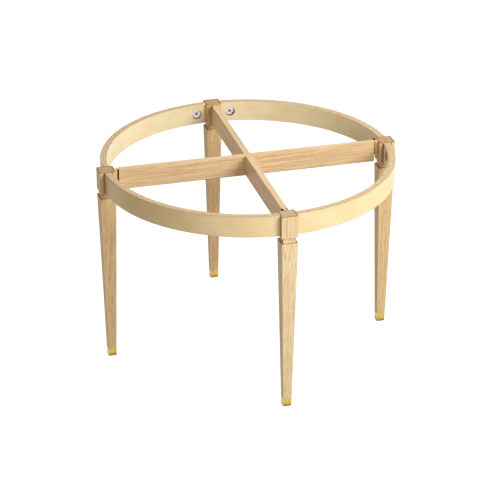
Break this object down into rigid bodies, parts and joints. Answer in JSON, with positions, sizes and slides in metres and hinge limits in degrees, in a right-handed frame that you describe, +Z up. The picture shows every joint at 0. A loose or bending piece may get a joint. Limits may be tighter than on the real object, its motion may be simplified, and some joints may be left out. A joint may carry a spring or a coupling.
{
  "type": "table frame",
  "caption": "Round dining-table under-frame with tapered square oak legs in brass ferrules, bent laminated apron arcs and half-lapped cross stretchers.",
  "frame": {"origin": "on the floor at the middle of the frame, below the crossing of the stretchers", "axes": "+Z up, +X towards the right leg, -Y towards the front leg, +Y towards the back leg"},
  "size_m": [1.065, 1.065, 0.72],
  "materials": {
    "leg_oak": "satin lacquered solid oak",
    "stretcher_oak": "satin lacquered solid oak",
    "apron_laminate": "satin lacquered bent lamination with pale face veneers",
    "ferrule_brass": "polished",
    "screw_brass": "plain",
    "housing_nickel": "nickel-plated zinc die casting",
    "cam_steel": "plated steel",
    "bolt_steel": "zinc-plated steel",
    "dowel_beech": "plain beech"
  },
  "bodies": {
    "root": {"apron_back_left": "apron_laminate", "apron_front_right": "apron_laminate", "apron_left_front": "apron_laminate", "apron_right_back": "apron_laminate", "bolt_back_left": "bolt_steel", "bolt_back_right": "bolt_steel", "bolt_front_left": "bolt_steel", "bolt_front_right": "bolt_steel", "bolt_left_back": "bolt_steel", "bolt_left_front": "bolt_steel", "bolt_right_back": "bolt_steel", "bolt_right_front": "bolt_steel", "cam_back_left": "cam_steel", "cam_back_right": "cam_steel", "cam_front_left": "cam_steel", "cam_front_right": "cam_steel", "cam_housing_back_left": "housing_nickel", "cam_housing_back_right": "housing_nickel", "cam_housing_front_left": "housing_nickel", "cam_housing_front_right": "housing_nickel", "cam_housing_left_back": "housing_nickel", "cam_housing_left_front": "housing_nickel", "cam_housing_right_back": "housing_nickel", "cam_housing_right_front": "housing_nickel", "cam_left_back": "cam_steel", "cam_left_front": "cam_steel", "cam_right_back": "cam_steel", "cam_right_front": "cam_steel", "dowel_lower_back_left": "dowel_beech", "dowel_lower_back_right": "dowel_beech", "dowel_lower_front_left": "dowel_beech", "dowel_lower_front_right": "dowel_beech", "dowel_lower_left_back": "dowel_beech", "dowel_lower_left_front": "dowel_beech", "dowel_lower_right_back": "dowel_beech", "dowel_lower_right_front": "dowel_beech", "dowel_upper_back_left": "dowel_beech", "dowel_upper_back_right": "dowel_beech", "dowel_upper_front_left": "dowel_beech", "dowel_upper_front_right": "dowel_beech", "dowel_upper_left_back": "dowel_beech", "dowel_upper_left_front": "dowel_beech", "dowel_upper_right_back": "dowel_beech", "dowel_upper_right_front": "dowel_beech", "ferrule_back": "ferrule_brass", "ferrule_front": "ferrule_brass", "ferrule_left": "ferrule_brass", "ferrule_right": "ferrule_brass", "ferrule_screw_back": "screw_brass", "ferrule_screw_front": "screw_brass", "ferrule_screw_left": "screw_brass", "ferrule_screw_right": "screw_brass", "leg_back": "leg_oak", "leg_front": "leg_oak", "leg_left": "leg_oak", "leg_right": "leg_oak", "stretcher_front_back": "stretcher_oak", "stretcher_left_right": "stretcher_oak"}
  },
  "joints": []
}
